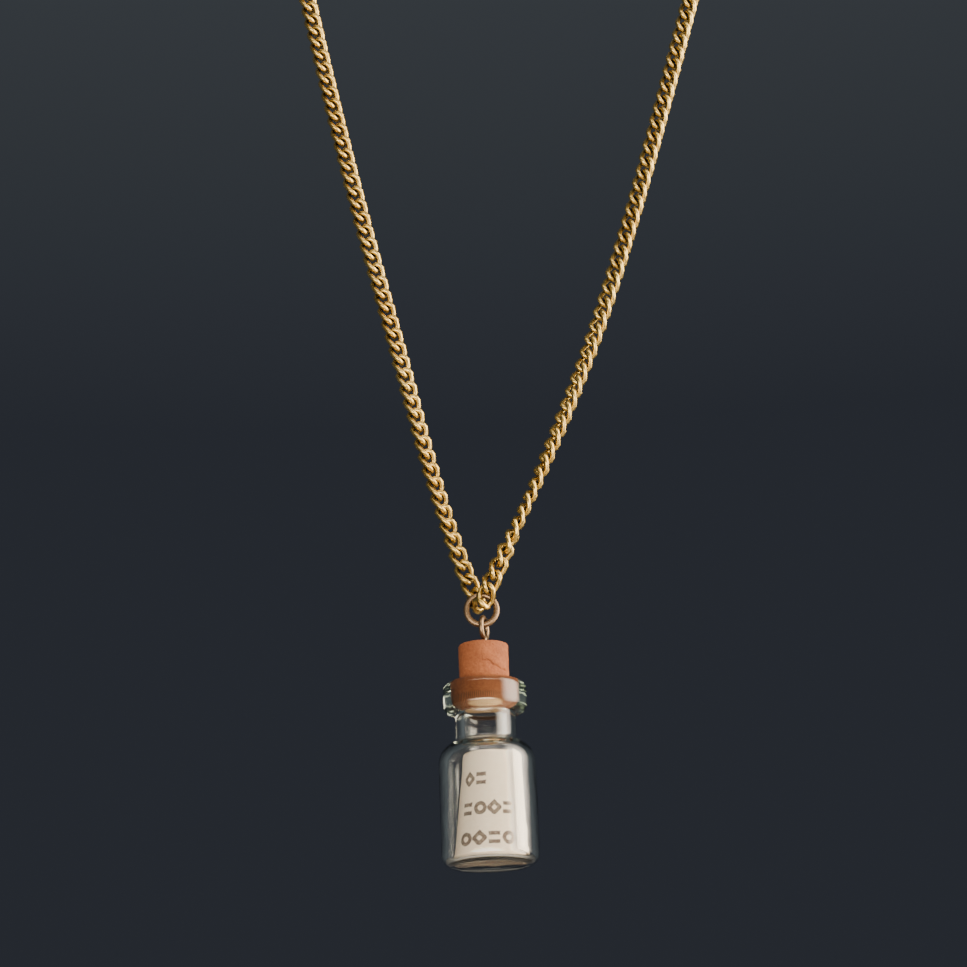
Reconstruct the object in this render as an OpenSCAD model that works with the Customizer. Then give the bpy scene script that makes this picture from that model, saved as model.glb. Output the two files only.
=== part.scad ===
/* [Chain] */
// Diameter of the chain, taken as a plain round tube
chain_d = 1.4; // [1.2:0.05:1.5]
// Gap between the chain, the jump ring and the screw eye where they hang
hang_gap = 0.12; // [0.1:0.01:0.2]

/* [Clasp] */
// Outer diameter of the clasp's ring
clasp_od = 6; // [5:0.25:8]
// Thickness of the clasp's ring
clasp_wire = 1.3; // [1:0.05:1.6]
// Outer diameter of the small eye at each side of the clasp
clasp_eye_od = 2.6; // [2.2:0.1:3.2]
// Thickness of those two eyes
clasp_eye_wire = 0.55; // [0.4:0.05:0.7]
// Gap between the clasp and each end of the chain
clasp_gap = 0.3; // [0.2:0.05:0.5]

/* [Jump ring] */
// Outer diameter of the jump ring
ring_od = 4.2; // [3.9:0.05:5]
// Thickness of its wire
ring_wire = 0.7; // [0.5:0.05:0.8]

/* [Screw eye] */
// Outer diameter of the screw eye's loop
eye_od = 3; // [2.7:0.05:3.6]
// Thickness of its wire
eye_wire = 0.6; // [0.45:0.05:0.7]
// Turn of the loop away from square to the jump ring, its front towards the left
eye_turn = 15; // [0:1:25]
// Length of the bare stem between the loop and the cork
eye_stem = 0.5; // [0.3:0.05:1]
// Diameter of the shank that goes down into the cork
shank_d = 1; // [0.8:0.05:1.3]
// Length of that shank inside the cork
shank_l = 4.5; // [3:0.25:6]

/* [Cork] */
// Diameter of the cork where it stands out of the bottle
cork_d = 5.7; // [5.4:0.05:6.1]
// Height of the cork above the bottle's lip
cork_out = 4.35; // [3:0.05:6]
// Depth of the cork in the bottle's mouth
cork_in = 3.1; // [2.5:0.05:4.5]
// Rounding of the cork's top edge
cork_round = 0.35; // [0.1:0.05:0.6]
// Gap all round between the cork, the bottle's mouth and the shank
fit_gap = 0.1; // [0.05:0.01:0.2]

/* [Bottle] */
// Outer diameter of the bottle's body
bottle_d = 11; // [10:0.1:13]
// Height of the bottle from its base to its lip
bottle_h = 21; // [19:0.25:28]
// Thickness of the glass
glass = 0.95; // [0.7:0.05:1.1]
// Thickness of the glass in the base
floor_t = 0.7; // [0.5:0.05:1.2]
// Depth of the hollow under the base
base_dish = 0.2; // [0:0.05:0.3]
// Rounding at the foot of the bottle
heel_r = 1.25; // [1:0.05:1.6]
// Outer diameter of the neck
neck_d = 6.85; // [6.6:0.05:7.4]
// Height of the bare neck between the lip and the shoulder
neck_h = 3.35; // [2.5:0.05:5]
// Outer diameter of the lip
lip_d = 9.5; // [8.8:0.1:10.2]
// Height of the lip
lip_h = 3.65; // [2.6:0.05:4.2]
// Rounding of the lip's outer edges
lip_round = 0.95; // [0.6:0.05:1.2]
// Rounding of the shoulder
shoulder_r = 2.6; // [1.8:0.05:3]
// Rounding where the shoulder meets the neck
neck_round = 0.6; // [0.4:0.05:0.9]

/* [Note] */
// Height of the roll's top above the place where the shoulder starts to curve in
note_reach = 1.1; // [-3:0.1:1.1]
// Thickness of the paper
paper = 0.2; // [0.15:0.01:0.25]
// Gap between one turn of the paper and the next
turn_gap = 0.2; // [0.15:0.01:0.25]
// Number of turns in the roll
turns = 1.85; // [1.3:0.05:2.2]
// Gap between the roll's foot and the side of the bottle
note_gap = 0.25; // [0.15:0.05:0.6]
// Narrowing of the roll on each side, from its foot to its top
note_taper = 0.9; // [0.4:0.05:1.2]
// Sideways lean of the roll's top
note_lean = 0.45; // [0:0.05:0.6]
// Height by which the outer edge's lower corner is rolled up
flap_rise = 0.6; // [0:0.05:1]
// Direction of the paper's outer edge, measured from the right towards the back
flap_angle = -47; // [-90:1:0]

/* [Hidden] */
arc_fn = 96;
wire_fn = 32;
chain_sides = 8;
steps_per_span = 2;
roll_steps = 60;
roll_levels = 4;

// Back of the neck, seen from the lowest point of the chain, where the jump ring hangs
nape = [10, 72, 186];
// Left strand from the jump ring up and round to the nape
left_strand = [
  [-2.4, 0.7, 6], [-5.2, 0.1, 16], [-8.9, 0, 32], [-12.6, 0, 48], [-16, 0, 64],
  [-19.1, 0.2, 80], [-22, 0.8, 96], [-25, 2.2, 112], [-28, 5, 128], [-31, 10, 143],
  [-33.8, 19.5, 157], [-34.5, 34, 168], [-30.5, 49, 176], [-20.5, 62, 182], [-6.5, 70, 185.2]
];
// Right strand, the same way
right_strand = [
  [2.9, -0.7, 6], [7.6, -0.1, 16], [14.4, 0, 32], [20, 0, 48], [25, 0, 64],
  [29.8, 0.2, 80], [34.5, 0.8, 96], [39, 2.2, 112], [43.4, 5, 128], [47.7, 10, 143],
  [51.8, 19.5, 157], [53.5, 34, 168], [50, 49, 176], [40.5, 62, 182], [26.5, 70, 185.2]
];
// Places where the chain dips through the jump ring, as shares of hang
ring_pass = [[-1.07, 0.98, 1.88], [-0.7, 1.03, 0.77], [-0.38, 0.68, 0.15], [0, 0, 0]];

// Distance between the middles of two wires that hang in each other
hang = chain_d / 2 + hang_gap + ring_wire / 2;
clasp_eye_x = clasp_od / 2 + clasp_eye_od / 2 - clasp_eye_wire;
clasp_end = clasp_eye_x + clasp_eye_od / 2 + clasp_gap;
ring_r = (ring_od - ring_wire) / 2;
ring_z = hang - ring_r;
swing_z = ring_z - ring_r;
eye_r = (eye_od - eye_wire) / 2;
eye_z = swing_z + ring_wire / 2 + hang_gap + eye_wire / 2 - eye_r;
cork_top = eye_z - eye_od / 2 - eye_stem;
lip_z = cork_top - cork_out;
base_z = lip_z - bottle_h;
body_r = bottle_d / 2;
neck_r = neck_d / 2;
bore_r = neck_r - glass;
mouth_r = cork_d / 2 + fit_gap;
// Middles of the shoulder's arc and of the round under the neck, and the angle at which they meet
shoulder_x = body_r - shoulder_r;
round_x = neck_r + neck_round;
rise = sqrt((shoulder_r + neck_round) ^ 2 - (round_x - shoulder_x) ^ 2);
round_z = bottle_h - lip_h - neck_h + neck_round;
shoulder_z = round_z - rise;
meet = atan2(rise, round_x - shoulder_x);
note_r = body_r - glass - note_gap;
note_foot = floor_t + fit_gap;
note_h = shoulder_z + note_reach - note_foot;

function reversed(list) = [for (i = [len(list) - 1 : -1 : 0]) list[i]];
function unit(v) = v / norm(v);
function mix(a, b, share) = a + (b - a) * share;
function arc(centre, r, from, to, steps = 8) =
  [for (i = [0 : steps]) let (a = mix(from, to, i / steps)) centre + r * [cos(a), sin(a)]];

route = concat(
  [nape - [clasp_end, 0, 0]],
  reversed(left_strand),
  [for (p = ring_pass) p * hang],
  [for (i = [len(ring_pass) - 2 : -1 : 0]) let (p = ring_pass[i]) [-p[0], -p[1], p[2]] * hang],
  right_strand,
  [nape + [clasp_end, 0, 0]]
);

// Slope of a smooth curve at b, between its neighbours a and c, for the span of length root s
function slope(a, b, c, s) =
  let (ab = sqrt(norm(b - a)), bc = sqrt(norm(c - b)))
    s * ((b - a) / ab - (c - a) / (ab + bc) + (c - b) / bc);
function on_curve(p, i, t) =
  let (
    b = p[i],
    c = p[i + 1],
    a = i > 0 ? p[i - 1] : 2 * b - c,
    d = i + 2 < len(p) ? p[i + 2] : 2 * c - b,
    s = sqrt(norm(c - b)),
    m = slope(a, b, c, s),
    n = slope(b, c, d, s)
  )
    (2 * t ^ 3 - 3 * t ^ 2 + 1) * b + (t ^ 3 - 2 * t ^ 2 + t) * m
    + (3 * t ^ 2 - 2 * t ^ 3) * c + (t ^ 3 - t ^ 2) * n;
function curve(p, steps) = concat(
  [for (i = [0 : len(p) - 2], k = [0 : steps - 1]) on_curve(p, i, k / steps)],
  [p[len(p) - 1]]
);
function tangent(p, i) = unit(p[min(i + 1, len(p) - 1)] - p[max(i - 1, 0)]);
// Side direction of each section, carried along the curve without twist
function carried(side, t) = unit(side - (side * t) * t);
function sides_along(p) =
  [for (i = 0, s = carried([0, 0, 1], tangent(p, 0)); i < len(p);
    i = i + 1, s = i < len(p) ? carried(s, tangent(p, i)) : s) s];

module tube(p, d, sides) {
  side = sides_along(p);
  points = [for (i = [0 : len(p) - 1], k = [0 : sides - 1])
    let (a = 360 * k / sides, up = cross(tangent(p, i), side[i]))
      p[i] + d / 2 * (cos(a) * side[i] + sin(a) * up)];
  last = (len(p) - 1) * sides;
  faces = concat(
    [[for (k = [0 : sides - 1]) k]],
    [[for (k = [sides - 1 : -1 : 0]) last + k]],
    [for (i = [0 : len(p) - 2], k = [0 : sides - 1])
      let (a = i * sides + k, b = i * sides + (k + 1) % sides) each [[a, a + sides, b], [b, a + sides, b + sides]]]
  );
  polyhedron(points, faces, convexity = 8);
}

module wire_ring(od, wire) {
  rotate([90, 90, 0]) rotate_extrude($fn = arc_fn) translate([(od - wire) / 2, 0]) circle(d = wire, $fn = wire_fn);
}

module chain() {
  color("#D9B25A") translate(-nape) tube(curve(route, steps_per_span), chain_d, chain_sides);
}

module clasp() {
  color("#D9B25A") {
    wire_ring(clasp_od, clasp_wire);
    for (s = [-1, 1]) translate([s * clasp_eye_x, 0, 0]) wire_ring(clasp_eye_od, clasp_eye_wire);
  }
}

module jump_ring() {
  color("#B3946A") translate(-nape) translate([0, 0, ring_z]) wire_ring(ring_od, ring_wire);
}

module screw_eye() {
  tip = shank_d / 2;
  color("#B3946A") translate(-nape) rotate([0, 0, -eye_turn]) {
    translate([0, 0, eye_z]) rotate([0, 0, 90]) wire_ring(eye_od, eye_wire);
    translate([0, 0, cork_top - shank_l]) cylinder(d = shank_d, h = shank_l + eye_stem + eye_wire / 2, $fn = wire_fn);
    translate([0, 0, cork_top - shank_l - tip]) cylinder(d1 = 0.3 * tip, d2 = shank_d, h = tip, $fn = wire_fn);
  }
}

module cork() {
  r = cork_d / 2;
  bore = shank_d / 2 + fit_gap;
  bore_end = cork_top - shank_l - shank_d / 2 - fit_gap;
  outline = concat(
    [[0, lip_z - cork_in], [bore_r - fit_gap, lip_z - cork_in], [r, lip_z]],
    arc([r - cork_round, cork_top - cork_round], cork_round, 0, 90),
    [[bore, cork_top], [bore, bore_end], [0, bore_end]]
  );
  color("#C87D55") translate(-nape) rotate_extrude($fn = arc_fn) polygon(outline);
}

module bottle() {
  lip_r = lip_d / 2;
  neck_top = bottle_h - lip_h;
  outline = concat(
    [[0, base_dish], [body_r - heel_r - glass, base_dish * 0.5]],
    arc([body_r - heel_r, heel_r], heel_r, -90, 0),
    arc([shoulder_x, shoulder_z], shoulder_r, 0, meet),
    reversed(arc([round_x, round_z], neck_round, 180, 180 + meet)),
    [[neck_r, neck_top]],
    arc([lip_r - lip_round, neck_top + lip_round], lip_round, -90, 0),
    arc([lip_r - lip_round, bottle_h - lip_round], lip_round, 0, 90),
    [[mouth_r, bottle_h], [bore_r, bottle_h - cork_in]],
    arc([round_x, round_z], neck_round + glass, 180, 180 + meet),
    reversed(arc([shoulder_x, shoulder_z], shoulder_r - glass, 0, meet)),
    reversed(arc([body_r - heel_r, floor_t + heel_r - glass], heel_r - glass, -90, 0)),
    [[0, floor_t]]
  );
  color("LightCyan", 0.35) translate(-nape) translate([0, 0, base_z]) rotate_extrude($fn = arc_fn) polygon(outline);
}

// Place on the roll: share of its length from the outer edge, share of its height, depth in the paper
function roll_place(along, up, depth) =
  let (
    a = flap_angle + 360 * turns * along,
    r = note_r - note_taper * up - (paper + turn_gap) * turns * along - depth,
    foot = flap_rise * max(0, 1 - 4 * turns * along)
  )
    [r * cos(a) + note_lean * up, r * sin(a), base_z + note_foot + mix(foot, note_h, up)];

module note() {
  row = 2 * (roll_steps + 1);
  points = [for (j = [0 : roll_levels - 1], side = [0, 1], i = [0 : roll_steps])
    roll_place((side == 0 ? i : roll_steps - i) / roll_steps, j / (roll_levels - 1), side * paper)];
  top = (roll_levels - 1) * row;
  strip = [for (j = [0 : roll_levels - 2], i = [0 : row - 1])
    let (a = j * row + i, b = j * row + (i + 1) % row) each [[a, a + row, b], [b, a + row, b + row]]];
  foot = [for (i = [0 : roll_steps - 1])
    let (c = row - 1 - i) each [[i, i + 1, c], [i + 1, c - 1, c]]];
  head = [for (f = foot) [f[2] + top, f[1] + top, f[0] + top]];
  color("#CDBDA8") translate(-nape) polyhedron(points, concat(strip, foot, head), convexity = 10);
}

chain();
clasp();
jump_ring();
screw_eye();
cork();
bottle();
note();
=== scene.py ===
import math
import bpy
from mathutils import Matrix, Vector


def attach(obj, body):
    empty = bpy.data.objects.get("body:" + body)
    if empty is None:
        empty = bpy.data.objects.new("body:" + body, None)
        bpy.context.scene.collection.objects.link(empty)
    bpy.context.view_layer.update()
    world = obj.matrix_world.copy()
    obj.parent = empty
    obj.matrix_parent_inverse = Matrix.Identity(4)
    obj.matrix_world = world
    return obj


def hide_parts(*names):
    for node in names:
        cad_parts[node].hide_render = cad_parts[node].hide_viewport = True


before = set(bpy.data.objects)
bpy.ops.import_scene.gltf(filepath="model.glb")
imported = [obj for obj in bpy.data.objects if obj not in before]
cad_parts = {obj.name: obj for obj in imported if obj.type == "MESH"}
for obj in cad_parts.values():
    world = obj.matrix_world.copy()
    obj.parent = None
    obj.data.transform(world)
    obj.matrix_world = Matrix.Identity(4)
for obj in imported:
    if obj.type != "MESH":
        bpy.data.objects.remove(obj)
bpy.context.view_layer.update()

# The model is in metres, and sizes here are in millimetres
MM = 0.001
# A curve's smoothness: two places nearer than this are one
ONE_PLACE = 0.001 * MM


def mm(*place):
    """A place given in millimetres, as Blender's metres."""
    return Vector(place) * MM


# ---- Places in the part, the same as in its source ----

CHAIN_LOW = Vector((-10, -72, -186))
RING_MIDDLE = CHAIN_LOW + Vector((0, 0, -0.58))
EYE_MIDDLE = CHAIN_LOW + Vector((0, 0, -2.76))
CORK_TOP = CHAIN_LOW + Vector((0, 0, -4.76))
LIP_TOP = CHAIN_LOW + Vector((0, 0, -9.11))
BOTTLE_BASE = CHAIN_LOW + Vector((0, 0, -30.11))

# The chain's way from its lowest point up each strand to the nape
NAPE = Vector((10, 72, 186))
# From the nape to the last link's middle, at each side of the clasp
CLASP_END = 5.35
LEFT_STRAND = [
    (-2.4, 0.7, 6), (-5.2, 0.1, 16), (-8.9, 0, 32), (-12.6, 0, 48), (-16, 0, 64),
    (-19.1, 0.2, 80), (-22, 0.8, 96), (-25, 2.2, 112), (-28, 5, 128), (-31, 10, 143),
    (-33.8, 19.5, 157), (-34.5, 34, 168), (-30.5, 49, 176), (-20.5, 62, 182), (-6.5, 70, 185.2),
]
RIGHT_STRAND = [
    (2.9, -0.7, 6), (7.6, -0.1, 16), (14.4, 0, 32), (20, 0, 48), (25, 0, 64),
    (29.8, 0.2, 80), (34.5, 0.8, 96), (39, 2.2, 112), (43.4, 5, 128), (47.7, 10, 143),
    (51.8, 19.5, 157), (53.5, 34, 168), (50, 49, 176), (40.5, 62, 182), (26.5, 70, 185.2),
]


# ---- Small tools ----

def linear(code):
    """An sRGB hex colour as linear numbers with full alpha."""
    shares = [int(code[i:i + 2], 16) / 255 for i in (1, 3, 5)]
    return [s / 12.92 if s <= 0.04045 else ((s + 0.055) / 1.055) ** 2.4 for s in shares] + [1.0]


def only(*pieces):
    """Selects these pieces and no others, the last one active."""
    bpy.ops.object.select_all(action="DESELECT")
    for piece in pieces:
        piece.select_set(True)
        bpy.context.view_layer.objects.active = piece


def named(name):
    """The primitive that was just added, with its name."""
    piece = bpy.context.active_object
    piece.name = piece.data.name = name
    return piece


def edit(piece, wanted=None):
    """Opens the piece in edit mode with all of it selected, or only the vertices whose place is wanted."""
    only(piece)
    mesh = piece.data
    for part in (mesh.polygons, mesh.edges, mesh.vertices):
        part.foreach_set("select", [False] * len(part))
    for vertex in mesh.vertices:
        vertex.select = wanted is None or wanted(vertex.co)
    bpy.ops.object.mode_set(mode="EDIT")
    bpy.ops.mesh.select_mode(type="VERT")


def done():
    """Leaves edit mode."""
    bpy.ops.object.mode_set(mode="OBJECT")


def seal():
    """Merges seams and poles of the piece in edit mode and turns its faces outwards."""
    bpy.ops.mesh.select_all(action="SELECT")
    bpy.ops.mesh.remove_doubles(threshold=ONE_PLACE)
    bpy.ops.mesh.normals_make_consistent(inside=False)


def finish(piece, kind, **settings):
    """Gives the piece a modifier and applies it."""
    only(piece)
    tool = piece.modifiers.new(kind.lower(), kind)
    for key, value in settings.items():
        setattr(tool, key, value)
    bpy.ops.object.modifier_apply(modifier=tool.name)


def put(piece, place):
    """Moves the piece to its place in millimetres, in its mesh."""
    only(piece)
    piece.location = Vector(place) * MM
    bpy.ops.object.transform_apply(location=True, rotation=True, scale=True)


def joined(name, pieces):
    """Joins pieces into the first one."""
    only(*pieces[1:], pieces[0])
    if len(pieces) > 1:
        bpy.ops.object.join()
    return named(name)


def turned(name, outline, steps):
    """A closed piece turned on a lathe, from its half outline of radius and height in millimetres."""
    bpy.ops.object.select_all(action="DESELECT")
    bpy.ops.mesh.primitive_plane_add(size=MM)
    piece = named(name)
    bpy.ops.object.mode_set(mode="EDIT")
    bpy.ops.mesh.select_all(action="SELECT")
    bpy.ops.mesh.merge(type="CENTER")
    last = Vector((0, 0, 0))
    for count, (radius, height) in enumerate(outline):
        place = mm(radius, 0, height)
        if count:
            bpy.ops.mesh.extrude_region_move(TRANSFORM_OT_translate={"value": place - last})
        else:
            bpy.ops.transform.translate(value=place - last)
        last = place
    bpy.ops.mesh.select_all(action="SELECT")
    bpy.ops.mesh.spin(steps=steps, angle=math.tau, center=(0, 0, 0), axis=(0, 0, 1))
    seal()
    done()
    return piece


def arc(middle, radius, start, end, steps=10):
    """Places along an arc in an outline, between two angles in degrees."""
    places = []
    for step in range(steps + 1):
        angle = math.radians(start + (end - start) * step / steps)
        places.append((middle[0] + radius * math.cos(angle), middle[1] + radius * math.sin(angle)))
    return places


def fine(outline, spacing):
    """The same outline with places added so that none lie further apart than the spacing."""
    places = [outline[0]]
    for start, end in zip(outline, outline[1:]):
        steps = max(1, math.ceil(math.dist(start, end) / spacing))
        places += [
            (start[0] + (end[0] - start[0]) * s / steps, start[1] + (end[1] - start[1]) * s / steps)
            for s in range(1, steps + 1)
        ]
    return places


def eased(value, low, high):
    """Rises smoothly from 0 at low to 1 at high."""
    share = min(max((value - low) / (high - low), 0), 1)
    return share * share * (3 - 2 * share)


# ---- Materials ----

def material(name):
    """A new material, its node tree and its main shader."""
    made = bpy.data.materials.new(name)
    made.use_nodes = True
    tree = made.node_tree
    return made, tree, tree.nodes["Principled BSDF"]


def add(tree, kind, settings=None, **inputs):
    """Adds a node. Settings are its own properties, and inputs are values or outputs of other nodes."""
    node = tree.nodes.new(kind)
    for key, value in (settings or {}).items():
        setattr(node, key, value)
    for key, value in inputs.items():
        key = int(key[1:]) if key[0] == "_" else key.replace("_", " ")
        socket = node.inputs[key]
        if isinstance(value, bpy.types.NodeSocket):
            tree.links.new(value, socket)
        else:
            socket.default_value = value
    return node


def ramp(tree, value, *stops):
    """Turns a value into a colour that blends between stops of place and hex colour."""
    node = add(tree, "ShaderNodeValToRGB", Fac=value)
    bar = node.color_ramp.elements
    while len(bar) < len(stops):
        bar.new(0.5)
    for element, (place, code) in zip(bar, stops):
        element.position = place
        element.color = linear(code)
    return node.outputs["Color"]


def noise(tree, place, size, detail=2.0, roughness=0.5, stretch=(1, 1, 1)):
    """Noise whose lumps are about this size in millimetres, longer along a stretched axis."""
    scaled = add(tree, "ShaderNodeMapping", Vector=place, Scale=[1 / (size * MM * s) for s in stretch])
    return add(
        tree, "ShaderNodeTexNoise", Vector=scaled.outputs[0], Scale=1.0, Detail=detail, Roughness=roughness
    ).outputs["Fac"]


def math_of(tree, operation, *values):
    """One sum on values or outputs."""
    return add(
        tree, "ShaderNodeMath", {"operation": operation}, **{f"_{i}": v for i, v in enumerate(values)}
    ).outputs[0]


def product(tree, first, second):
    """Two values or outputs multiplied."""
    return math_of(tree, "MULTIPLY", first, second)


def between(tree, value, low, high, to_low=0.0, to_high=1.0):
    """Maps a value smoothly from one range to another."""
    return add(
        tree, "ShaderNodeMapRange", {"interpolation_type": "SMOOTHSTEP"},
        Value=value, From_Min=low, From_Max=high, To_Min=to_low, To_Max=to_high,
    ).outputs["Result"]


def mixed(tree, share, first, second):
    """Mixes two colours. A colour mix has its share at input 0 and its colours at inputs 6 and 7."""
    return add(tree, "ShaderNodeMix", {"data_type": "RGBA"}, _0=share, _6=first, _7=second).outputs[2]


def bump(tree, shader, height, depth):
    """Gives the shader a relief of this depth in millimetres."""
    node = add(tree, "ShaderNodeBump", Strength=1.0, Distance=depth * MM, Height=height)
    tree.links.new(node.outputs["Normal"], shader.inputs["Normal"])


def gold_plate():
    # Gold-plated brass, drawn wire that was bent, soldered and tumbled: bright and warm,
    # with painted shade in near-black brown where the links lie close, a little uneven tarnish, and a faint
    # unevenness of 0.8 mm
    made, tree, shader = material("gold_plated_brass")
    place = add(tree, "ShaderNodeTexCoord").outputs["Object"]
    uneven = noise(tree, place, 0.8, 2.0, 0.5)
    drift = noise(tree, place, 9.0)
    open_share = add(
        tree, "ShaderNodeAmbientOcclusion", {"samples": 16}, Distance=0.4 * MM
    ).outputs["AO"]
    plate = ramp(tree, drift, (0.35, "#BC9C53"), (0.65, "#C5AA63"))
    # Painted shade: where ambient occlusion finds nearby wire the plate turns near-black brown, and the
    # unevenness adds a little random tarnish
    painted_shade_and_tarnish = math_of(tree, "ADD", open_share, product(tree, uneven, 0.1))
    painted_shade_and_tarnish = between(tree, painted_shade_and_tarnish, 0.3, 0.75)
    colour = mixed(tree, painted_shade_and_tarnish, linear("#20140A"), plate)
    tree.links.new(colour, shader.inputs["Base Color"])
    tree.links.new(between(tree, uneven, 0.3, 0.7, 0.28, 0.36), shader.inputs["Roughness"])
    shader.inputs["Metallic"].default_value = 1.0
    bump(tree, shader, uneven, 0.001)
    return made


def antique_brass():
    # Antique brass, drawn wire with a satin tumbled face: softer and pinker than the gold,
    # with painted shade in brown where its wire lies near other parts, and fine drawing lines drawn at 0.12
    # mm so that they show
    made, tree, shader = material("antique_brass")
    place = add(tree, "ShaderNodeTexCoord").outputs["Object"]
    uneven = noise(tree, place, 0.35, 3.0, 0.6)
    lines = noise(tree, place, 0.12, 2.0, 0.5)
    open_share = add(
        tree, "ShaderNodeAmbientOcclusion", {"samples": 8}, Distance=0.4 * MM
    ).outputs["AO"]
    metal = ramp(tree, uneven, (0.25, "#766047"), (0.75, "#8A735A"))
    # Painted shade: darker brown where ambient occlusion finds nearby parts, with a little random tone from
    # the unevenness
    painted_shade_and_tone = math_of(tree, "ADD", open_share, product(tree, uneven, 0.15))
    painted_shade_and_tone = between(tree, painted_shade_and_tone, 0.25, 0.75)
    tree.links.new(mixed(tree, painted_shade_and_tone, linear("#735C42"), metal), shader.inputs["Base Color"])
    tree.links.new(between(tree, lines, 0.3, 0.7, 0.38, 0.46), shader.inputs["Roughness"])
    shader.inputs["Metallic"].default_value = 1.0
    bump(tree, shader, lines, 0.003)
    return made


def natural_cork():
    # Natural cork, cut and sanded: matte and warm, cells finer than sight drawn as 0.28 mm grain,
    # small brown pores about 0.9 mm apart, and broad lighter and darker patches
    made, tree, shader = material("natural_cork")
    place = add(tree, "ShaderNodeTexCoord").outputs["Object"]
    patches = noise(tree, place, 2.6, 3.0, 0.55, (1, 1, 0.6))
    grain = noise(tree, place, 0.28, 3.0, 0.65)
    pores = add(
        tree, "ShaderNodeTexVoronoi", {"feature": "F1"},
        Vector=add(tree, "ShaderNodeMapping", Vector=place, Scale=[1 / (0.9 * MM)] * 3).outputs[0],
        Scale=1.0, Randomness=1.0,
    ).outputs["Distance"]
    pore = between(tree, pores, 0.06, 0.2)
    base = ramp(tree, patches, (0.3, "#6D3B1F"), (0.5, "#7D4625"), (0.72, "#8F5633"))
    speck = ramp(tree, grain, (0.28, "#5F3118"), (0.5, "#7C4424"), (0.75, "#905A38"))
    colour = mixed(tree, 0.45, base, speck)
    in_pore = product(tree, math_of(tree, "SUBTRACT", 1.0, pore), 0.55)
    colour = mixed(tree, in_pore, colour, linear("#7A4023"))
    # Painted shade: darker brown where ambient occlusion finds the glass or a dent close by
    painted_shade = add(tree, "ShaderNodeAmbientOcclusion", {"samples": 8}, Distance=0.5 * MM).outputs["AO"]
    colour = mixed(tree, between(tree, painted_shade, 0.45, 0.9, 0.7, 0.0), colour, linear("#6B361C"))
    # Where the mouth squeezes it the stopper has fine upright ribs, 0.2 mm apart, and below them a painted
    # highlight, a pale band along its foot
    centred = add(tree, "ShaderNodeVectorMath", {"operation": "SUBTRACT"}, _0=place, _1=LIP_TOP * MM)
    parts = add(tree, "ShaderNodeSeparateXYZ", Vector=centred.outputs["Vector"])
    turn = math_of(tree, "ARCTAN2", parts.outputs["Y"], parts.outputs["X"])
    rib = math_of(tree, "SINE", product(tree, turn, CORK_RIBS))
    rib = between(tree, math_of(tree, "ADD", rib, product(tree, grain, 0.8)), 0.3, 1.1)
    low = between(tree, parts.outputs["Z"], -1.85 * MM, -1.45 * MM, 1.0, 0.0)
    rib = product(tree, product(tree, rib, low), 0.9)
    colour = mixed(tree, rib, colour, linear("#4E3420"))
    # Painted highlight: the cork's foot inside the mouth is mixed towards pale cream
    foot = between(tree, parts.outputs["Z"], -2.44 * MM, -2.36 * MM, 1.0, 0.0)
    colour = mixed(tree, product(tree, foot, 0.7), colour, linear("#CDA97C"))
    tree.links.new(colour, shader.inputs["Base Color"])
    shader.inputs["Roughness"].default_value = 0.82
    shader.inputs["Specular IOR Level"].default_value = 0.3
    height = math_of(tree, "ADD", product(tree, grain, 0.6), product(tree, pore, 0.4))
    bump(tree, shader, height, 0.06)
    return made


def vial_glass():
    # Soda-lime glass, moulded: clear and glossy, a little wavy over 1.8 mm from the mould,
    # and faintly green where light goes through much of it, as at the lip and the base
    made, tree, shader = material("soda_lime_glass")
    place = add(tree, "ShaderNodeTexCoord").outputs["Object"]
    waves = noise(tree, place, 1.8, 1.0, 0.4)
    for key, value in {
        "Base Color": (1, 1, 1, 1), "Roughness": 0.03, "IOR": 1.5, "Transmission Weight": 1.0,
    }.items():
        shader.inputs[key].default_value = value
    bump(tree, shader, waves, 0.03)
    tint = add(tree, "ShaderNodeVolumeAbsorption", Color=linear("#CFDACA"), Density=170.0)
    tree.links.new(tint.outputs["Volume"], tree.nodes["Material Output"].inputs["Volume"])
    return made


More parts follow.
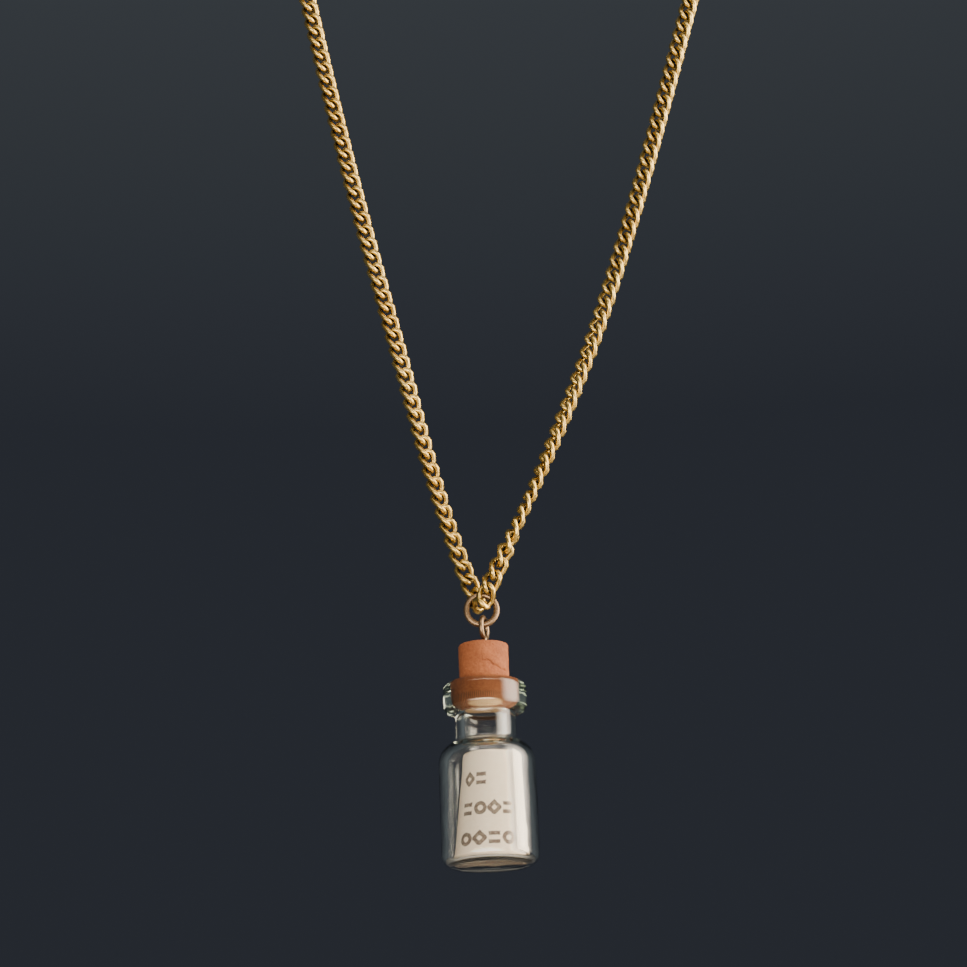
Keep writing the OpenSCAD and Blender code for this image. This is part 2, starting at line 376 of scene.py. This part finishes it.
def note_paper():
    # Uncoated rag paper, calendered: cream and matte with fibres of 0.3 mm, browner at its edges,
    # with three rows of small printed marks in thin brown ink that has bled a little
    made, tree, shader = material("rag_paper")
    flat = add(tree, "ShaderNodeUVMap", {"uv_map": "sheet"}).outputs["UV"]
    place = add(tree, "ShaderNodeTexCoord").outputs["Object"]
    fibres = noise(tree, place, 0.3, 4.0, 0.65)
    clouds = noise(tree, place, 3.5, 2.0)
    bleed = noise(tree, place, 0.22, 2.0)
    parts = add(tree, "ShaderNodeSeparateXYZ", Vector=flat)
    wobble = product(tree, math_of(tree, "SUBTRACT", bleed, 0.5), 0.16)
    along = math_of(tree, "MULTIPLY_ADD", parts.outputs["X"], SHEET_LENGTH, wobble)
    up = math_of(tree, "MULTIPLY_ADD", parts.outputs["Y"], NOTE_HEIGHT, wobble)
    # Each mark sits in its own cell of a grid that starts at the first mark
    across = math_of(tree, "DIVIDE", math_of(tree, "SUBTRACT", along, FIRST_MARK), MARK_PITCH)
    rows = math_of(tree, "DIVIDE", math_of(tree, "SUBTRACT", up, FIRST_ROW), ROW_PITCH)
    column = math_of(tree, "FLOOR", across)
    row = math_of(tree, "FLOOR", rows)
    x = product(tree, math_of(tree, "SUBTRACT", math_of(tree, "FRACT", across), 0.5), MARK_PITCH)
    y = product(tree, math_of(tree, "FRACT", rows), ROW_PITCH)
    y = math_of(tree, "SUBTRACT", y, MARK_SIZE / 2)
    side = math_of(tree, "ABSOLUTE", x)
    rise = math_of(tree, "ABSOLUTE", y)
    far = math_of(tree, "ADD", product(tree, x, x), product(tree, y, y))
    far = math_of(tree, "SQRT", far)

    def stroke(distance, radius, width):
        off = math_of(tree, "ABSOLUTE", math_of(tree, "SUBTRACT", distance, radius))
        return math_of(tree, "SUBTRACT", off, width / 2)

    ring = stroke(far, 0.52, STROKE)
    diamond = stroke(math_of(tree, "ADD", side, rise), 0.62, STROKE * 1.4)
    bars = math_of(tree, "MAXIMUM", stroke(rise, 0.46, STROKE), math_of(tree, "SUBTRACT", side, 0.58))
    # The three shapes take turns along a row, and each row starts with another one
    turn = math_of(tree, "ADD", column, product(tree, row, 2.0))
    turn = math_of(tree, "FLOORED_MODULO", turn, 3.0)

    def when(value, number):
        return math_of(tree, "COMPARE", value, number, 0.1)

    mark = product(tree, ring, when(turn, 0.0))
    mark = math_of(tree, "MULTIPLY_ADD", diamond, when(turn, 1.0), mark)
    mark = math_of(tree, "MULTIPLY_ADD", bars, when(turn, 2.0), mark)
    # Nothing is printed before the first mark or row, above the last row or past a row's last mark
    started = product(
        tree, math_of(tree, "GREATER_THAN", across, 0.0), math_of(tree, "GREATER_THAN", rows, 0.0)
    )
    written = product(tree, started, math_of(tree, "LESS_THAN", rows, ROWS_END))
    row_end = math_of(
        tree, "MULTIPLY_ADD", when(row, 2.0), MARKS_IN_TOP_ROW - MARKS_IN_ROW, MARKS_IN_ROW
    )
    written = product(tree, written, math_of(tree, "LESS_THAN", across, row_end))
    ink = product(tree, between(tree, mark, -0.05, 0.07, 1.0, 0.0), written)
    ink = product(tree, ink, between(tree, fibres, 0.25, 0.6, 0.7, 0.95))
    cloudy = ramp(tree, clouds, (0.3, "#F0DCC2"), (0.7, "#FAECD8"))
    fibrous = ramp(tree, fibres, (0.3, "#EDD8BC"), (0.7, "#FCF1E1"))
    sheet = mixed(tree, 0.5, cloudy, fibrous)
    edge_u = math_of(tree, "ABSOLUTE", math_of(tree, "SUBTRACT", parts.outputs["X"], 0.5))
    edge_v = math_of(tree, "ABSOLUTE", math_of(tree, "SUBTRACT", parts.outputs["Y"], 0.5))
    edge = math_of(tree, "MAXIMUM", between(tree, edge_u, 0.488, 0.5), between(tree, edge_v, 0.47, 0.5))
    sheet = mixed(tree, product(tree, edge, 0.4), sheet, linear("#B99F7C"))
    tree.links.new(mixed(tree, ink, sheet, linear("#5E4C40")), shader.inputs["Base Color"])
    shader.inputs["Roughness"].default_value = 0.85
    shader.inputs["Specular IOR Level"].default_value = 0.25
    bump(tree, shader, fibres, 0.02)
    return made


def studio_floor():
    # Painted board, rolled: pale and matte with a faint roller texture of 2 mm
    made, tree, shader = material("painted_board")
    place = add(tree, "ShaderNodeTexCoord").outputs["Object"]
    stipple = noise(tree, place, 2.0, 3.0)
    tree.links.new(ramp(tree, stipple, (0.3, "#BDBAB4"), (0.7, "#C4C1BB")), shader.inputs["Base Color"])
    shader.inputs["Roughness"].default_value = 0.8
    bump(tree, shader, stipple, 0.1)
    return made


def dress(piece, made, body, node, sharp=50):
    """Gives the piece its material, its smooth faces and its place in the model."""
    only(piece)
    bpy.ops.object.shade_smooth_by_angle(angle=math.radians(sharp))
    piece.data.materials.clear()
    piece.data.materials.append(made)
    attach(piece, body)
    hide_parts(node)


# ---- Chain ----

# A curb link: outer length and width, wire, twist between its two ends, and length along the chain
LINK_LENGTH = 3.3
LINK_WIDTH = 2.35
LINK_WIRE = 0.7
LINK_TWIST = -136.0
LINK_PITCH = 1.76
# Curb links are rolled flat on both faces, this far from their middle
LINK_FLAT = 0.75
WIRE_SIDES = 6
BEND_SIDES = 14
# Places of the links at the jump ring, seen from its middle, and a place that only bends the curve's start.
# The right strand has them turned half round.
MIDDLE_LINK = (0, 0, 0.54)
FIRST_LINK = (-0.6, 1.0, 1.45)
FIRST_DIRECTION = (-0.2, 0.2, 1)
BEFORE_FIRST = (-0.3, 0.6, 0.1)
CURVE_STEPS = 16
# Turn of the links about the strand, in degrees, at distances from the jump ring. Half a turn more is
# the same link, so the right strand turns on past 90 in place of back, which keeps neighbours clear.
LEFT_ROLL = [(0, 0), (9, 45), (20, 40), (36, 24), (60, 14), (190, 14), (225, -55)]
RIGHT_ROLL = [(0, 0), (10, 100), (27, 130), (48, 162), (70, 172), (190, 172), (225, 125)]
# Faces that meet at less than this many degrees look smooth
LINK_SMOOTH = 85
# The neck's middle lies this far in front of the nape. Between these two heights the links turn from
# facing the front to facing outwards.
NECK_DEPTH = 38
CHEST_HEIGHT, NECK_HEIGHT = -75, -35


def curb_link():
    """One link about the origin: its length along Y, its flat face towards Z."""
    bpy.ops.object.select_all(action="DESELECT")
    bpy.ops.mesh.primitive_torus_add(
        major_segments=BEND_SIDES, minor_segments=WIRE_SIDES,
        major_radius=(LINK_WIDTH - LINK_WIRE) / 2 * MM, minor_radius=LINK_WIRE / 2 * MM,
        rotation=(0, 0, math.pi / BEND_SIDES),
    )
    link = named("curb_link")
    bpy.ops.object.transform_apply(location=True, rotation=True, scale=True)
    spread = (LINK_LENGTH - LINK_WIDTH) / 2 * MM
    for side in (1, -1):
        edit(link, lambda place: place.y * side > 0)
        bpy.ops.transform.translate(value=(0, side * spread, 0))
        done()
    edit(link)
    bpy.ops.mesh.bisect(plane_co=(0, 0, 0), plane_no=(0, 1, 0))
    done()
    finish(link, "SIMPLE_DEFORM", deform_method="TWIST", deform_axis="Y", angle=math.radians(LINK_TWIST))
    for side in (1, -1):
        edit(link)
        bpy.ops.mesh.bisect(
            plane_co=mm(0, 0, LINK_FLAT * side), plane_no=(0, 0, side), use_fill=True, clear_outer=True,
        )
        done()
    return link


def smooth_way(stops, steps):
    """Places along a smooth curve through the stops, the same curve as in the part's source."""
    def slope(a, b, c, root):
        ab, bc = math.sqrt((b - a).length), math.sqrt((c - b).length)
        return root * ((b - a) / ab - (c - a) / (ab + bc) + (c - b) / bc)

    places = []
    for i in range(len(stops) - 1):
        b, c = stops[i], stops[i + 1]
        a = stops[i - 1] if i else 2 * b - c
        d = stops[i + 2] if i + 2 < len(stops) else 2 * c - b
        root = math.sqrt((c - b).length)
        m, n = slope(a, b, c, root), slope(b, c, d, root)
        for step in range(steps):
            t = step / steps
            places.append(
                (2 * t**3 - 3 * t**2 + 1) * b + (t**3 - 2 * t**2 + t) * m
                + (3 * t**2 - 2 * t**3) * c + (t**3 - t**2) * n
            )
    return places + [stops[-1]]


def along(places, distance):
    """The place and direction on a run of places, at a distance from its start."""
    for start, end in zip(places, places[1:]):
        step = (end - start).length
        if distance <= step:
            return start.lerp(end, distance / step), (end - start).normalized()
        distance -= step
    return places[-1], (places[-1] - places[-2]).normalized()


def facing(place):
    """Where a link's flat face looks: to the front on the chest, and outwards round the neck."""
    outward = Vector((place.x, place.y + NECK_DEPTH, 0)).normalized()
    return Vector((0, -1, 0)).lerp(outward, eased(place.z, CHEST_HEIGHT, NECK_HEIGHT)).normalized()


def laid(link, place, direction, face, roll):
    """A copy of the link at a place, along a direction, its face turned about it by the roll in degrees."""
    face = (face - face.dot(direction) * direction).normalized()
    turn = Matrix.Rotation(math.radians(roll), 3, direction)
    face = turn @ face
    across = direction.cross(face)
    copy = link.copy()
    copy.data = link.data.copy()
    bpy.context.scene.collection.objects.link(copy)
    matrix = Matrix((across, direction, face)).transposed().to_4x4()
    matrix.translation = place * MM
    copy.data.transform(matrix)
    return copy


def strand(link, side, stops, rolls):
    """The links of one strand, from the one that hooks into the middle link up to the clasp."""
    def mirrored(place):
        return Vector((place[0] * side, place[1] * side, place[2]))

    low = Vector((0, 0, RING_MIDDLE.z - CHAIN_LOW.z))
    nape = NAPE - Vector((CLASP_END * side, 0, 0))
    stops = [mirrored(p) + low for p in (BEFORE_FIRST, FIRST_LINK)] + [Vector(p) for p in stops] + [nape]
    way = smooth_way(stops, CURVE_STEPS)[CURVE_STEPS:]
    length = sum((b - a).length for a, b in zip(way, way[1:]))
    count = round(length / LINK_PITCH)
    links = []
    for number in range(count + 1):
        distance = length * number / count
        place, direction = along(way, distance)
        if number == 0:
            direction = mirrored(FIRST_DIRECTION).normalized()
        roll = rolls[0][1]
        for (low_at, low_roll), (high_at, high_roll) in zip(rolls, rolls[1:]):
            if low_at <= distance:
                roll = low_roll + (high_roll - low_roll) * eased(distance, low_at, high_at)
        place = place + CHAIN_LOW
        links.append(laid(link, place, direction, facing(place), roll))
    return links


def chain():
    """All the links: the middle one lies flat in the jump ring, and a strand hooks into each of its ends."""
    link = curb_link()
    links = [laid(link, Vector(MIDDLE_LINK) + RING_MIDDLE, Vector((0, -1, 0)), Vector((0, 0, 1)), 0)]
    links += strand(link, 1, LEFT_STRAND, LEFT_ROLL)
    links += strand(link, -1, RIGHT_STRAND, RIGHT_ROLL)
    bpy.data.objects.remove(link)
    return joined("chain_links", links)


# ---- Clasp, jump ring and screw eye ----

def clasp():
    """A plain closed ring with a small soldered eye at each side."""
    ring_radius, ring_wire, eye_radius, eye_wire, eye_aside = 2.35, 0.65, 1.025, 0.275, 3.75
    bpy.ops.object.select_all(action="DESELECT")
    bpy.ops.mesh.primitive_torus_add(
        major_segments=96, minor_segments=24, major_radius=ring_radius * MM, minor_radius=ring_wire * MM,
        rotation=(math.pi / 2, 0, 0),
    )
    parts = [named("clasp_ring")]
    bpy.ops.object.transform_apply(location=True, rotation=True, scale=True)
    for side in (-1, 1):
        bpy.ops.object.select_all(action="DESELECT")
        bpy.ops.mesh.primitive_torus_add(
            major_segments=48, minor_segments=16, major_radius=eye_radius * MM, minor_radius=eye_wire * MM,
            location=mm(side * eye_aside, 0, 0), rotation=(math.pi / 2, 0, 0),
        )
        parts.append(named("clasp_eye"))
        bpy.ops.object.transform_apply(location=True, rotation=True, scale=True)
    for part in parts[1:]:
        finish(parts[0], "BOOLEAN", operation="UNION", solver="EXACT", object=part)
        bpy.data.objects.remove(part)
    return parts[0]


def jump_ring():
    """Round wire bent once round, cut at its bottom, its ends a little out of line."""
    wire, middle_radius, offset, bent = 0.35, 1.75, 0.12, 356
    bpy.ops.object.select_all(action="DESELECT")
    bpy.ops.mesh.primitive_circle_add(
        vertices=20, radius=wire * MM, location=mm(0, -offset / 2, -middle_radius),
        rotation=(0, math.pi / 2, 0),
    )
    ring = named("split_ring")
    bpy.ops.object.transform_apply(location=True, rotation=True, scale=True)
    finish(
        ring, "SCREW", axis="Y", angle=math.radians(bent), screw_offset=offset * MM, steps=120,
        render_steps=120, use_merge_vertices=False,
    )
    edit(ring)
    bpy.ops.mesh.fill_holes(sides=0)
    seal()
    done()
    put(ring, RING_MIDDLE)
    return ring


def screw_eye():
    """A wire that comes up out of the cork, bends aside and closes into a loop, on a threaded shank."""
    wire, loop, bend, closed = 0.3, 1.2, 0.5, 322
    shank_top, shank_foot, core, thread, pitch, turns = -2.5, -7.0, 0.36, 0.12, 0.6, 5
    # The wire starts this far inside the shank, and the thread this far above its tip
    inside, tip = 0.3, 1.1
    rise = math.sqrt((loop + bend) ** 2 - bend ** 2)
    bend_angle = math.acos(bend / (loop + bend))
    bpy.ops.object.select_all(action="DESELECT")
    bpy.ops.mesh.primitive_circle_add(
        vertices=16, radius=wire * MM, fill_type="NGON", location=mm(0, 0, shank_top - inside)
    )
    eye = named("wire_eye")
    bpy.ops.object.transform_apply(location=True, rotation=True, scale=True)
    bpy.ops.object.mode_set(mode="EDIT")
    bpy.ops.mesh.select_all(action="SELECT")
    stem = -rise - shank_top + inside
    for _ in range(4):
        bpy.ops.mesh.extrude_region_move(TRANSFORM_OT_translate={"value": mm(0, 0, stem / 4)})
    bpy.ops.mesh.spin(steps=10, angle=bend_angle, center=mm(0, bend, -rise), axis=(1, 0, 0))
    bpy.ops.mesh.spin(steps=72, angle=math.radians(closed), center=(0, 0, 0), axis=(-1, 0, 0))
    seal()
    done()
    shank = turned("screw_shank", [
        (0, shank_foot), (0.1, shank_foot + 0.12), (core, shank_foot + tip), (core, shank_top - 0.1),
        (core - 0.08, shank_top), (0, shank_top),
    ], 24)
    # One turn of the thread is a small triangle carried round and up
    bpy.ops.object.select_all(action="DESELECT")
    bpy.ops.mesh.primitive_circle_add(
        vertices=3, radius=thread * MM, fill_type="NOTHING", rotation=(math.pi / 2, -math.pi / 6, 0),
        location=mm(core, 0, shank_foot + tip),
    )
    ridge = named("screw_thread")
    bpy.ops.object.transform_apply(location=True, rotation=True, scale=True)
    finish(
        ridge, "SCREW", axis="Z", angle=math.tau * turns, screw_offset=pitch * turns * MM,
        steps=20 * turns, render_steps=20 * turns, use_merge_vertices=False,
    )
    edit(ridge)
    bpy.ops.mesh.fill_holes(sides=0)
    seal()
    done()
    return joined("wire_eye", [eye, shank, ridge])


# ---- Cork ----

# The cork is squeezed against the glass in the mouth, so the thick lip magnifies it
MOUTH_RADIUS = 2.5
MOUTH_ROUND = 0.4
NECK_BORE = 2.475
# How far the cork goes in below the lip's top, and how far it stands out above it
CORK_IN = 3.1
CORK_OUT = 4.35
# Ribs round the whole cork
CORK_RIBS = 76.0


def cork():
    """A cut and sanded stopper: a little uneven all over, its front cracked as far as a pit."""
    radius, rounding, foot_round, bore, snug = 2.85, 0.22, 0.12, 0.5, 0.03
    foot = NECK_BORE + snug
    outline = [(0, -CORK_IN)]
    outline += arc((foot - foot_round, -CORK_IN + foot_round), foot_round, -90, -10, 4)
    outline += [(MOUTH_RADIUS + snug, -0.6), (MOUTH_RADIUS + 0.1, -0.28)]
    outline += [(radius - 0.02, 0.03), (radius, 0.15)]
    outline += arc((radius - rounding, CORK_OUT - rounding), rounding, 0, 90, 6)
    outline += [(bore + 0.1, CORK_OUT - 0.02), (bore, CORK_OUT - 0.16)]
    outline += [(bore, CORK_OUT - 5.2), (0, CORK_OUT - 5.4)]
    piece = turned("cork_stopper", fine(outline, 0.1), 200)

    def dent(name, depth, weight_of, kind=None, size=1.0):
        """Sinks the cork's skin by a depth in millimetres where weight_of says, evenly or by a texture."""
        group = piece.vertex_groups.new(name=name)
        for vertex in piece.data.vertices:
            weight = weight_of(vertex.co / MM)
            if weight > 0.001:
                group.add([vertex.index], weight, "REPLACE")
        settings = {"strength": -depth * MM, "mid_level": 0.0, "vertex_group": name}
        if kind:
            texture = bpy.data.textures.new(name, kind)
            texture.noise_scale = size * MM
            settings.update(texture=texture, texture_coords="LOCAL", mid_level=0.5)
        finish(piece, "DISPLACE", **settings)

    def outside(place):
        return eased(place.z, 0.05, 0.5) if math.hypot(place.x, place.y) > 0.6 else 0

    def from_crack(place, stops, width):
        """1 on a line on the cork's side, given by angles from the front and heights, and 0 at its edge."""
        angle = math.degrees(math.atan2(place.x, -place.y))
        if place.y > 0.5 or math.hypot(place.x, place.y) < 2.2:
            return 0
        here = Vector((math.radians(angle) * radius, place.z))
        nearest = width
        for (a1, z1), (a2, z2) in zip(stops, stops[1:]):
            start = Vector((math.radians(a1) * radius, z1))
            end = Vector((math.radians(a2) * radius, z2))
            share = min(max((here - start).dot(end - start) / (end - start).length_squared, 0), 1)
            nearest = min(nearest, (here - start.lerp(end, share)).length)
        return 1 - eased(nearest, 0, width)

    dent("broad", 0.16, outside, "CLOUDS", 2.2)
    dent("fine", 0.06, outside, "CLOUDS", 0.5)
    crack = [(2, 1.95), (9, 2.0), (17, 1.75), (22, 1.45), (33, 1.35), (44, 1.0), (57, 1.0)]
    dent("crack", 0.13, lambda place: from_crack(place, crack, 0.12))
    dent("chip", 0.07, lambda place: from_crack(place, [(14, 1.5), (30, 1.1)], 0.55))
    dent("pit", 0.16, lambda place: from_crack(place, [(56, 1.05), (60, 0.95)], 0.22))
    dent("crease", 0.03, lambda place: from_crack(place, [(-3, 3.4), (-5, 2.6), (-2, 2.0)], 0.16))
    return piece


# ---- Bottle ----

def bottle():
    """The glass in one closed shell, outside and inside, from its dished base to its lip."""
    body, wall, floor, heel, height = 5.5, 0.95, 0.7, 1.25, 21.0
    neck, neck_top, lip, lip_round = 3.425, 17.35, 4.75, 0.95
    bore, mouth = NECK_BORE, MOUTH_RADIUS
    round_x, round_z, rounding = neck + 0.6, 14.6, 0.6
    shoulder_x, shoulder = body - 2.6, 2.6
    rise = math.sqrt((shoulder + rounding) ** 2 - (round_x - shoulder_x) ** 2)
    shoulder_z = round_z - rise
    meet = math.degrees(math.atan2(rise, round_x - shoulder_x))
    outline = [(0, 0.2), (1.5, 0.18), (body - heel - 1.2, 0.1)] + arc((body - heel, heel), heel, -100, 0, 14)
    outline += arc((shoulder_x, shoulder_z), shoulder, 0, meet, 18)
    outline += arc((round_x, round_z), rounding, 180 + meet, 180, 10)
    outline += [(neck, neck_top - 0.12), (neck + 0.04, neck_top - 0.03)]
    outline += arc((lip - lip_round, neck_top + lip_round), lip_round, -90, 0, 12)
    outline += arc((lip - lip_round, height - lip_round), lip_round, 0, 90, 12)
    outline += arc((mouth + MOUTH_ROUND, height - MOUTH_ROUND), MOUTH_ROUND, 90, 180, 8)
    outline += [(bore, height - CORK_IN - 0.1)]
    outline += arc((round_x, round_z), rounding + wall, 180, 180 + meet, 14)
    outline += arc((shoulder_x, shoulder_z), shoulder - wall, meet, 0, 14)
    outline += arc((body - heel, floor + heel - wall + 0.25), heel - wall + 0.25, 0, -90, 8)[1:]
    outline += [(2.0, floor - 0.02), (0, floor)]
    return turned("glass_vial", fine(outline, 0.6), 144)


# ---- Note ----

NOTE_FOOT = 0.8
NOTE_HEIGHT = 11.9
# Radius at the foot's outer edge, what it loses up to the top and in each turn, and the lean to the right
NOTE_RADIUS = 4.3
NOTE_TAPER = 0.9
TURN_STEP = 0.4
NOTE_LEAN = 0.45
TURNS = 1.85
PAPER = 0.14
# The sheet's outer edge: its angle, and how far its lower corner is lifted
FLAP_ANGLE = -47.0
FLAP_RISE = 0.6
MIDDLE_RADIUS = 3.6
SHEET_LENGTH = TURNS * math.tau * MIDDLE_RADIUS
# The printed marks, in millimetres on the flat sheet
MARK_PITCH = 1.56
ROW_PITCH = 3.35
MARK_SIZE = 1.6
STROKE = 0.42
MARKS_IN_ROW = 6.0
MARKS_IN_TOP_ROW = 2.0
# Rows are counted from the lowest, and the top one ends here
ROWS_END = 2.9
# How far along the sheet its outer turn faces the front
FRONT_ALONG = (270 - FLAP_ANGLE) / 360 / TURNS * SHEET_LENGTH
FIRST_MARK = FRONT_ALONG - 3.5
FIRST_ROW = 1.1


def note():
    """A sheet rolled nearly twice round, narrower and leaning at its top, its outer corner lifted."""
    columns, rows = 220, 36
    bpy.ops.object.select_all(action="DESELECT")
    bpy.ops.mesh.primitive_grid_add(x_subdivisions=columns, y_subdivisions=rows, size=1.0)
    sheet = named("paper_scroll")
    sheet.data.uv_layers[0].name = "sheet"
    for vertex in sheet.data.vertices:
        share, up = vertex.co.x + 0.5, vertex.co.y + 0.5
        turn = TURNS * share
        angle = math.radians(FLAP_ANGLE + 360 * turn)
        radius = NOTE_RADIUS - NOTE_TAPER * up - TURN_STEP * turn
        foot = FLAP_RISE * max(0, 1 - 4 * turn)
        height = foot + (NOTE_HEIGHT - foot) * up
        vertex.co = mm(
            radius * math.cos(angle) + NOTE_LEAN * up, radius * math.sin(angle), NOTE_FOOT + height
        )
    finish(sheet, "SOLIDIFY", thickness=PAPER * MM, offset=-1.0)
    return sheet


# ---- Build ----

# The screw eye is turned a little about its shank, and has slid a little to the right in the jump ring
EYE_TURN = -15
EYE_ASIDE = Vector((0.2, 0, 0))

gold, brass, cork_finish = gold_plate(), antique_brass(), natural_cork()
glass, paper = vial_glass(), note_paper()

dress(chain(), gold, "necklace", "chain", LINK_SMOOTH)
dress(clasp(), gold, "necklace", "clasp")
dress(jump_ring(), brass, "ring", "jump_ring")
eye = screw_eye()
eye.rotation_euler.z = math.radians(EYE_TURN)
put(eye, EYE_MIDDLE + EYE_ASIDE)
dress(eye, brass, "pendant", "screw_eye")
stopper = cork()
put(stopper, LIP_TOP)
dress(stopper, cork_finish, "pendant", "cork")
vial = bottle()
put(vial, BOTTLE_BASE)
dress(vial, glass, "pendant", "bottle")
scroll = note()
put(scroll, BOTTLE_BASE)
dress(scroll, paper, "pendant", "note")


# ---- Floor, light and camera ----

# In metres: where the lights aim, and how low the floor lies
PENDANT_TOP = Vector((-0.01, -0.072, -0.19))
FLOOR_HEIGHT = -0.7

bpy.ops.object.select_all(action="DESELECT")
bpy.ops.mesh.primitive_grid_add(x_subdivisions=8, y_subdivisions=8, size=4.0, location=(0, 0, FLOOR_HEIGHT))
floor = named("studio_floor")
bpy.ops.object.transform_apply(location=True, rotation=True, scale=True)
floor.data.materials.append(studio_floor())

world = bpy.context.scene.world or bpy.data.worlds.new("studio")
bpy.context.scene.world = world
world.use_nodes = True
air = world.node_tree
around = add(air, "ShaderNodeSeparateXYZ", Vector=add(air, "ShaderNodeTexCoord").outputs["Generated"])
# The studio is dim behind the necklace, and lighter at its two sides, overhead and in front
aside = math_of(air, "ABSOLUTE", around.outputs["X"])
over = product(air, around.outputs["Z"], 0.75)
near = product(air, around.outputs["Y"], -0.7)
light_share = math_of(air, "MAXIMUM", aside, math_of(air, "MAXIMUM", over, near))
glow = ramp(air, light_share, (0.25, "#2B2E35"), (0.5, "#44494C"), (0.85, "#62676A"))
air.links.new(glow, air.nodes["Background"].inputs["Color"])
air.nodes["Background"].inputs["Strength"].default_value = 1.0


def soft_box(name, place, size, power, tint):
    """A soft light that faces the pendant and fades towards its edges."""
    light = bpy.data.lights.new(name, "AREA")
    light.shape = "RECTANGLE"
    light.size, light.size_y = size
    light.energy = power
    light.color = linear(tint)[:3]
    light.use_nodes = True
    tree = light.node_tree
    spot = add(tree, "ShaderNodeNewGeometry").outputs["Parametric"]
    off = add(tree, "ShaderNodeVectorMath", {"operation": "DISTANCE"}, _0=spot, _1=(0.5, 0.5, 0.0))
    tree.links.new(
        between(tree, off.outputs["Value"], 0.05, 0.5, 2.4, 0.0), tree.nodes["Emission"].inputs["Strength"]
    )
    holder = bpy.data.objects.new(name, light)
    bpy.context.scene.collection.objects.link(holder)
    holder.location = place
    holder.rotation_euler = (PENDANT_TOP - Vector(place)).to_track_quat("-Z", "Y").to_euler()


soft_box("key", (0.515, -0.17, -0.08), (0.8, 1.5), 29.0, "#FFF0DC")
soft_box("top", (0.0, -0.6, 0.45), (1.6, 0.5), 6.0, "#FFF6EA")
soft_box("front", (-0.08, -0.65, -0.33), (1.3, 0.35), 11.0, "#FFF2E2")

# The camera stands where the photo's did, looks up by the tilt and is rolled a little
camera_data = bpy.data.cameras.new("camera")
camera_data.sensor_width = 36.0
camera_data.lens = 83.24
camera_data.clip_start = 0.01
camera = bpy.data.objects.new("camera", camera_data)
bpy.context.scene.collection.objects.link(camera)
tilt, roll = math.radians(18), math.radians(2.2)
ahead = Vector((0, math.cos(tilt), math.sin(tilt)))
level = Vector((1, 0, 0))
above = Vector((0, -math.sin(tilt), math.cos(tilt)))
right = level * math.cos(roll) - above * math.sin(roll)
upright = above * math.cos(roll) + level * math.sin(roll)
pose = Matrix((right, upright, -ahead)).transposed().to_4x4()
pose.translation = mm(-9.22, -321.68, -252.39)
camera.matrix_world = pose
bpy.context.scene.camera = camera
